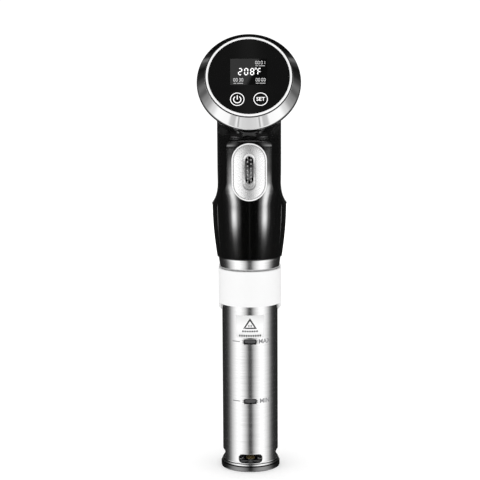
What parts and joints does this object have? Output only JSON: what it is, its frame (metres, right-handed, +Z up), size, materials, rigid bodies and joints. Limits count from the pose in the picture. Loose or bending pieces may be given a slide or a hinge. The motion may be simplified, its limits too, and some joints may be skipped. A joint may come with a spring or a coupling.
{
  "type": "sous vide circulator",
  "caption": "Stick immersion circulator: steel heater tube with water slots, clamp collar and spring clip, waisted black body with scroll wheel, and a tilted round control head.",
  "frame": {"origin": "centre of the base's bottom face, on the tube's axis", "axes": "+Z up along the tube, -Y towards the front where the display faces, +X to the right seen from the front"},
  "size_m": [0.0924, 0.0973, 0.3947],
  "materials": {
    "gloss_black_plastic": "high gloss black",
    "matt_black_plastic": "matt black",
    "base_metal": "glossy black",
    "brushed_stainless": "fine brushed",
    "inner_stainless": "plain",
    "mirror_chrome": "mirror",
    "satin_silver": "satin",
    "white_plastic": "smooth matt white",
    "grey_silicone": "matt",
    "black_rubber": "matt",
    "lens_glass": "black-backed glass",
    "circuit_board": "solder mask green",
    "motor_windings": "copper coloured",
    "brass_fittings": "plain",
    "nylon": "natural nylon"
  },
  "bodies": {
    "housing": {"rear_shell": "gloss_black_plastic", "front_shell": "gloss_black_plastic", "display_module": "matt_black_plastic", "transformer": "matt_black_plastic", "filter_capacitor": "matt_black_plastic", "encoder": "matt_black_plastic", "motor_end_cap": "matt_black_plastic", "base_cap": "base_metal", "steel_tube": "brushed_stainless", "collar_ring": "brushed_stainless", "bulkhead": "inner_stainless", "heating_coil": "inner_stainless", "stay_rod_1": "inner_stainless", "stay_rod_2": "inner_stainless", "stay_rod_3": "inner_stainless", "temperature_probe": "inner_stainless", "level_electrode_low": "inner_stainless", "level_electrode_high": "inner_stainless", "motor_bracket": "inner_stainless", "motor_can": "inner_stainless", "clip_pin": "inner_stainless", "clip_spring": "inner_stainless", "power_touch_spring": "inner_stainless", "set_touch_spring": "inner_stainless", "case_screw_1": "inner_stainless", "case_screw_2": "inner_stainless", "case_screw_3": "inner_stainless", "case_screw_4": "inner_stainless", "bezel_cone": "mirror_chrome", "lens_trim_ring": "mirror_chrome", "wheel_well": "mirror_chrome", "wheel_plate": "satin_silver", "triac_heatsink": "satin_silver", "clamp_collar": "white_plastic", "relay": "white_plastic", "heat_label": "white_plastic", "wall_pad": "grey_silicone", "cable_gland": "black_rubber", "bulkhead_seal": "black_rubber", "shaft_seal": "black_rubber", "lens_gasket": "black_rubber", "glass_lens": "lens_glass", "display_board": "circuit_board", "power_board": "circuit_board", "encoder_board": "circuit_board", "motor_stator": "motor_windings", "pump_plate": "nylon", "lower_bush": "nylon"},
    "rotor": {"impeller": "nylon", "impeller_nut": "brass_fittings", "drive_shaft": "inner_stainless", "shaft_coupling": "brass_fittings", "motor_shaft": "inner_stainless", "motor_rotor": "motor_windings", "cooling_fan": "matt_black_plastic"},
    "wheel": {"scroll_wheel": "matt_black_plastic", "wheel_axle": "inner_stainless"},
    "clip": {"clip_lever": "white_plastic", "clip_pad": "grey_silicone"}
  },
  "joints": [
    {"name": "rotor_spin", "type": "hinge", "parent": "housing", "child": "rotor", "pos_m": [0, 0, 0.1], "axis": [0, 0, 1], "continuous": true},
    {"name": "wheel_turn", "type": "hinge", "parent": "housing", "child": "wheel", "pos_m": [0, -0.0219, 0.2775], "axis": [1, 0, 0], "continuous": true},
    {"name": "clip_hinge", "type": "hinge", "parent": "housing", "child": "clip", "pos_m": [0, 0.038, 0.176], "axis": [1, 0, 0], "range_deg": [0, 20], "stiffness_Nm_per_rad": 1.5, "springref_deg": -11.46}
  ]
}
